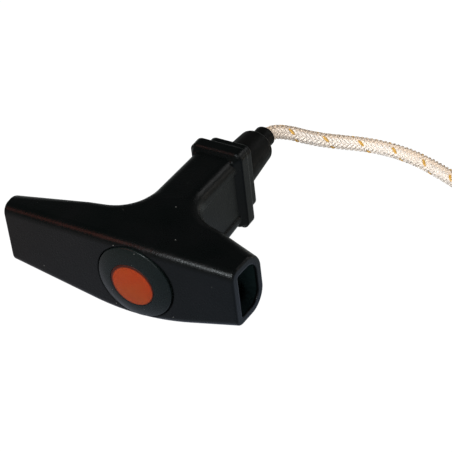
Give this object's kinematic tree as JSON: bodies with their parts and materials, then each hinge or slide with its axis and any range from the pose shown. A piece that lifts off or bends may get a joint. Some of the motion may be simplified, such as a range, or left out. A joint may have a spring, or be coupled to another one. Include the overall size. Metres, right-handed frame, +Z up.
{
  "type": "recoil starter handle",
  "caption": "T-shaped pull handle with hollow grip arms, domed front cap, stepped collar and tapered rope guide, with its braided starter rope",
  "frame": {"origin": "bottom centre of the bounding box of the handle (body, cap, guide and damper) lying on its side; the free rope isn't counted", "axes": "X along the crossbar, the longer arm toward -X; +Y from the front cap along the stem to the rope's mouth (the pull axis, towards the engine); Z up from the surface it lies on"},
  "size_m": [0.2141, 0.1667, 0.0349],
  "materials": {
    "grip_plastic": "satin moulded nylon",
    "cap_plastic": "semi-gloss moulded",
    "disc_plastic": "satin",
    "guide_plastic": "satin moulded",
    "washer_steel": "plated",
    "damper_rubber": "matt",
    "rope_fibre": "braided",
    "tie_fabric": "woven strap"
  },
  "bodies": {
    "root": {"grip_body": "grip_plastic", "front_cap": "cap_plastic", "cap_disc": "disc_plastic", "rope_guide": "guide_plastic", "rear_washer": "washer_steel", "damper_sleeve": "damper_rubber", "knot_cup": "washer_steel", "anchor_rope": "rope_fibre", "starter_rope": "rope_fibre", "rope_coil": "rope_fibre", "coil_tie": "tie_fabric"}
  },
  "joints": []
}
